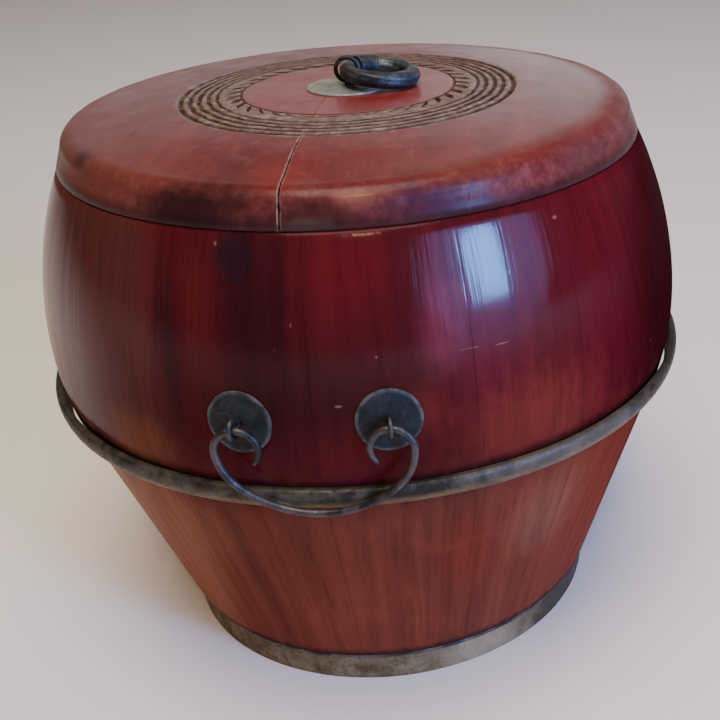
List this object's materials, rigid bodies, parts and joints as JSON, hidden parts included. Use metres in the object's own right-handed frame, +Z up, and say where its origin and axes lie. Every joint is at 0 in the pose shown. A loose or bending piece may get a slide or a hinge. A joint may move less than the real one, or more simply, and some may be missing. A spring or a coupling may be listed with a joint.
{
  "type": "lidded food tub",
  "caption": "Barrel-shaped coopered food tub in dark red lacquer, with metal hoops, hanging bail handles and a boarded lid with a ring pull.",
  "frame": {"origin": "middle of the object's bounding box at the floor, on the tub's axis", "axes": "+Z up along the tub's axis; -Y towards the front bail and +Y towards the back bail; the lid's ring pull lies towards +X; the lid's board joints run along Y"},
  "size_m": [0.3018, 0.311, 0.2692],
  "materials": {
    "body_lacquer": "worn dark red lacquer over upright wood grain, semi-gloss",
    "lid_lacquer": "glossy dark red lacquer with a stippled khaki carved band",
    "bare_wood": "bare planed wood, matt",
    "bamboo": "split bamboo, matt",
    "hoop_brass": "tarnished brass, blue-grey on top and olive with rust below",
    "band_brass": "aged olive-brown brass, semi-matt",
    "plate_brass": "blackened blue-green brass with pale worn rims",
    "wire_iron": "dark wrought-iron wire, worn to grey",
    "ring_iron": "dark blue-grey iron with olive patches"
  },
  "bodies": {
    "tub": {"stave_01": "body_lacquer", "stave_02": "body_lacquer", "stave_03": "body_lacquer", "stave_04": "body_lacquer", "stave_05": "body_lacquer", "stave_06": "body_lacquer", "stave_07": "body_lacquer", "stave_08": "body_lacquer", "stave_09": "body_lacquer", "stave_10": "body_lacquer", "stave_11": "body_lacquer", "stave_12": "body_lacquer", "stave_13": "body_lacquer", "stave_14": "body_lacquer", "stave_15": "body_lacquer", "stave_16": "body_lacquer", "stave_dowels": "bamboo", "bottom_board_left": "bare_wood", "bottom_board_middle": "bare_wood", "bottom_board_right": "bare_wood", "bottom_dowels": "bamboo", "middle_hoop": "hoop_brass", "foot_wire": "wire_iron", "foot_band": "band_brass", "handle_plates": "plate_brass", "handle_pins": "wire_iron"},
    "lid": {"lid_board_left": "lid_lacquer", "lid_board_mid_left": "lid_lacquer", "lid_board_mid_right": "lid_lacquer", "lid_board_right": "lid_lacquer", "lid_dowels": "bamboo", "lid_plate": "plate_brass", "lid_pin": "wire_iron"},
    "ring": {"ring_pull": "ring_iron", "ring_binding": "ring_iron"},
    "front_handle": {"bail_front": "wire_iron"},
    "back_handle": {"bail_back": "wire_iron"}
  },
  "joints": [
    {"name": "lid_lift", "type": "slide", "parent": "tub", "child": "lid", "axis": [0, 0, 1], "range_m": [0, 0.12]},
    {"name": "ring_swing", "type": "hinge", "parent": "lid", "child": "ring", "pos_m": [0.00021, 0, 0.26279], "axis": [0, -1, 0], "range_deg": [0, 190]},
    {"name": "front_bail_swing", "type": "hinge", "parent": "tub", "child": "front_handle", "pos_m": [0, -0.15104, 0.16445], "axis": [-1, 0, 0], "range_deg": [0, 175]},
    {"name": "back_bail_swing", "type": "hinge", "parent": "tub", "child": "back_handle", "pos_m": [0, 0.15104, 0.16445], "axis": [1, 0, 0], "range_deg": [0, 175]}
  ]
}
